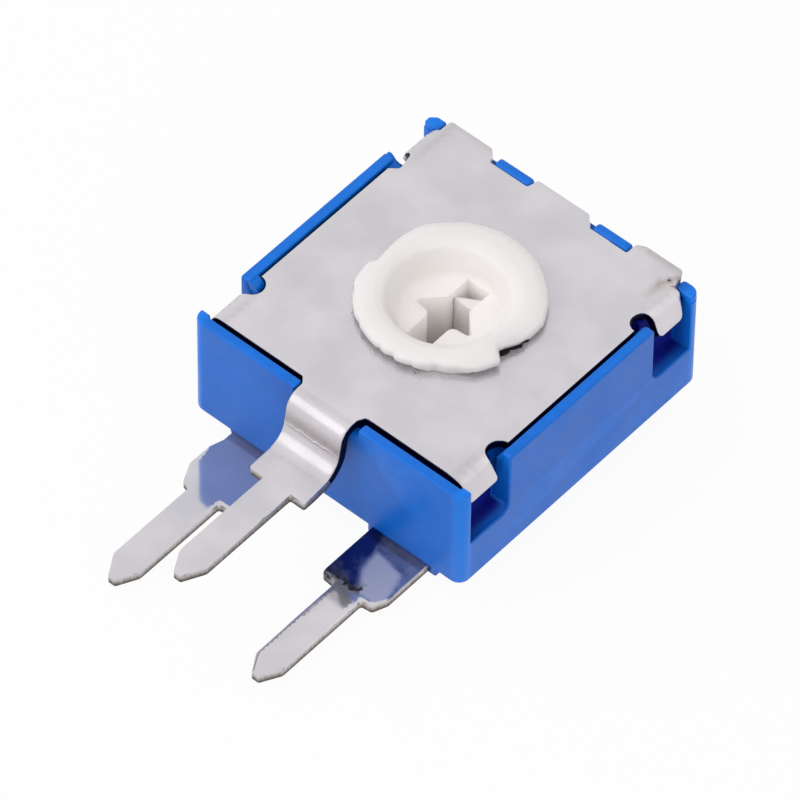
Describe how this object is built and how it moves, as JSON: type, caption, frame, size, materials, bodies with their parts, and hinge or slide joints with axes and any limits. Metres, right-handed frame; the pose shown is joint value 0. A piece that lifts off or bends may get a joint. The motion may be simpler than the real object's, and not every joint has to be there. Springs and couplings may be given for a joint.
{
  "type": "trimmer potentiometer",
  "caption": "Square carbon trimmer potentiometer with a crimped collector plate, flat solder pins and a rotor turned by a screwdriver from either face.",
  "frame": {"origin": "on the rotor's axis, in the plane of the plinth's underside", "axes": "+Z along the rotor's axis to the collector plate, -Y along the pins, +X across the row of pins"},
  "size_m": [0.0094, 0.0158, 0.0048],
  "materials": {
    "housing": "semi-gloss moulded",
    "tinned_sheet": "tin plated",
    "rotor": "matte moulded, hot-formed rim",
    "spring": "bright rolled",
    "board": "phenolic paper",
    "carbon": "printed",
    "silver_ink": "printed"
  },
  "bodies": {
    "stator": {"housing": "housing", "collector_plate": "tinned_sheet", "terminal_left": "tinned_sheet", "terminal_right": "tinned_sheet", "substrate": "board", "carbon_track": "carbon", "end_pad_left": "silver_ink", "end_pad_right": "silver_ink"},
    "rotor": {"rotor": "rotor", "wiper": "spring"}
  },
  "joints": [
    {"name": "rotor_turn", "type": "hinge", "parent": "stator", "child": "rotor", "pos_m": [0, 0, 0], "axis": [0, 0, 1], "range_deg": [-117.5, 117.5]}
  ]
}
